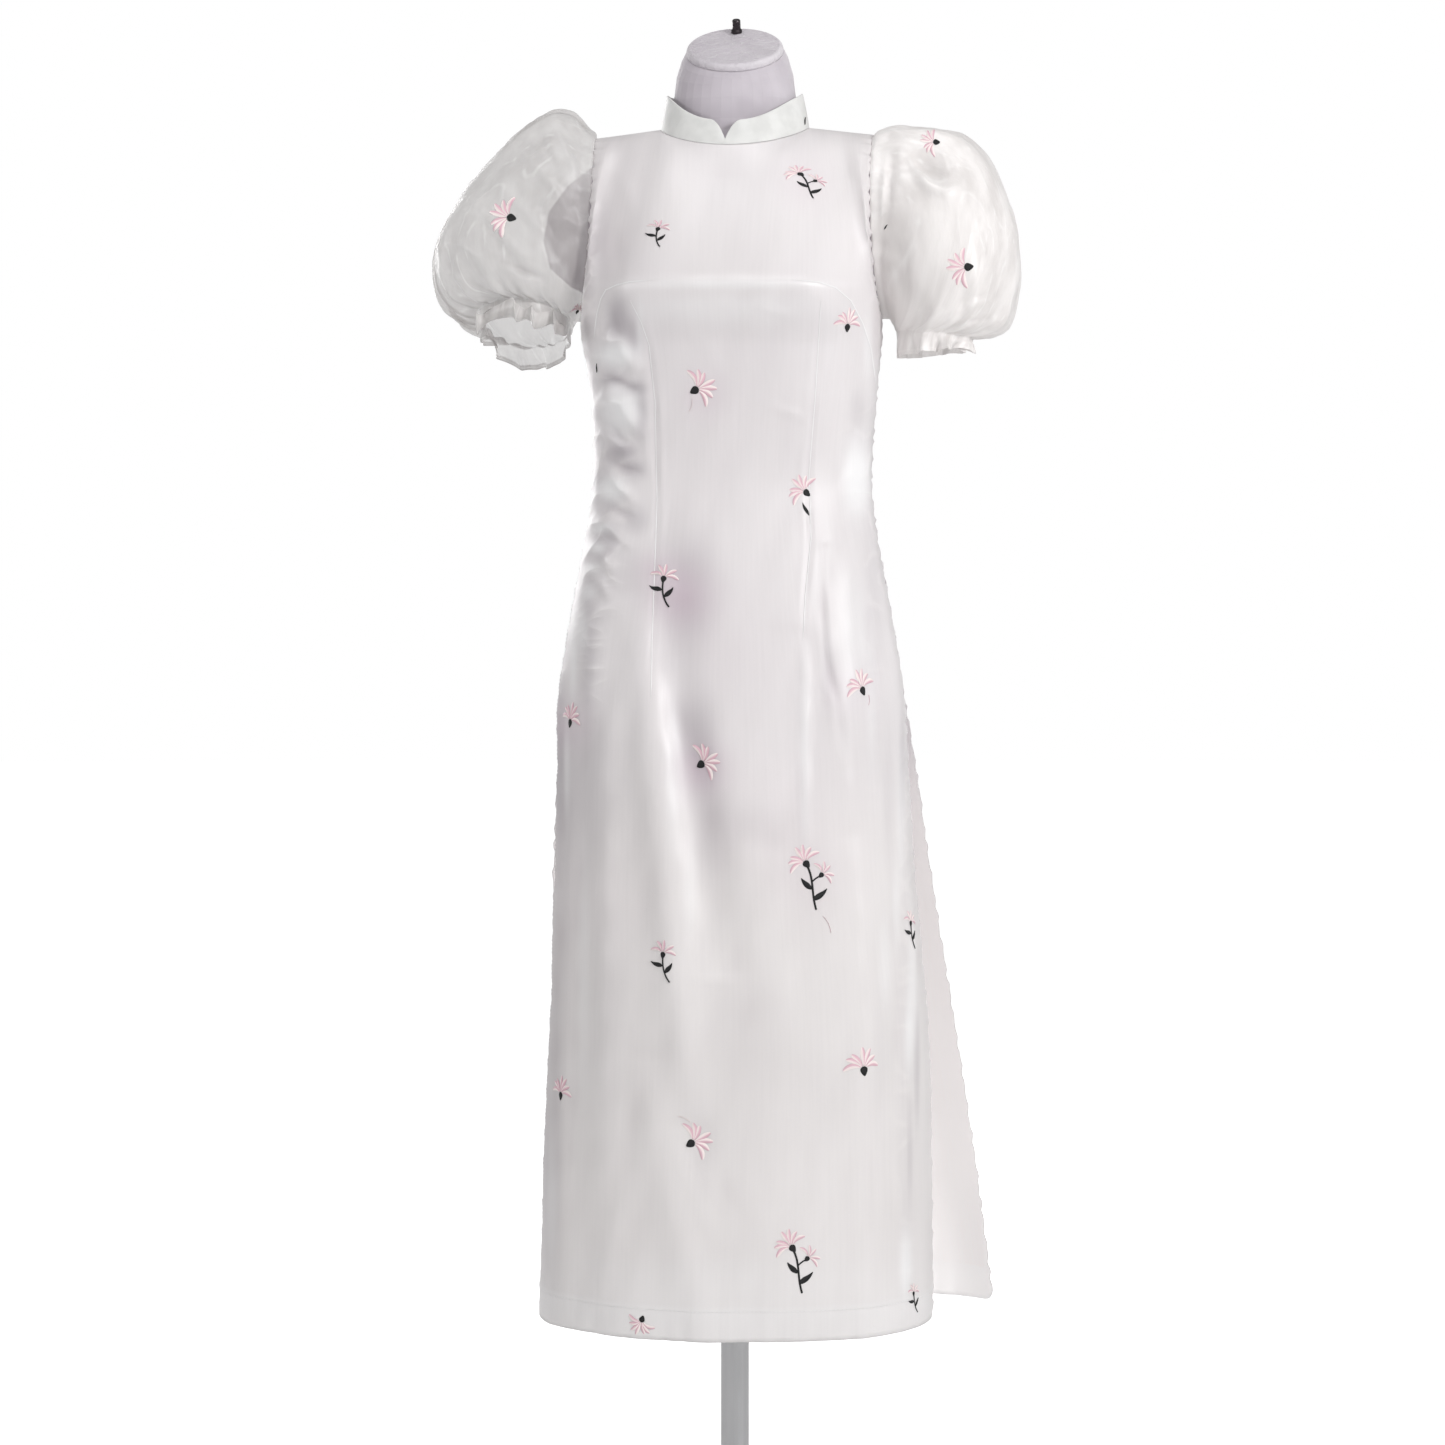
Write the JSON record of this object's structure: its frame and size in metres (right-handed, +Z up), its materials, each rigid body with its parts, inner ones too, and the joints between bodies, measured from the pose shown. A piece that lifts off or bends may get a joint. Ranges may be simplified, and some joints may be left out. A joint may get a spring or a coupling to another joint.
{
  "type": "ao dai tunic on a limbless dress form",
  "caption": "White satin ao dai tunic with sheer puff sleeves, stand collar and sprig embroidery, worn by a lilac dress form on a round stand.",
  "frame": {"origin": "on the floor, at the middle of the stand base's flat underside", "axes": "+Z up along the pole; the tunic's front faces -Y; +X is the wearer's left"},
  "size_m": [0.5886, 0.34, 1.5152],
  "materials": {
    "white_satin": "satin",
    "white_organza": "satin",
    "white_collar": "matte",
    "lilac_jersey": "matte",
    "dark_metal": "polished",
    "steel": "satin"
  },
  "bodies": {
    "root": {"front_panel": "white_satin", "back_left": "white_satin", "back_right": "white_satin", "sleeve_left": "white_organza", "sleeve_right": "white_organza", "collar": "white_collar", "form_torso": "lilac_jersey", "form_neck_cap": "lilac_jersey", "form_knob": "dark_metal", "stand_pole": "steel", "stand_base": "steel"}
  },
  "joints": []
}
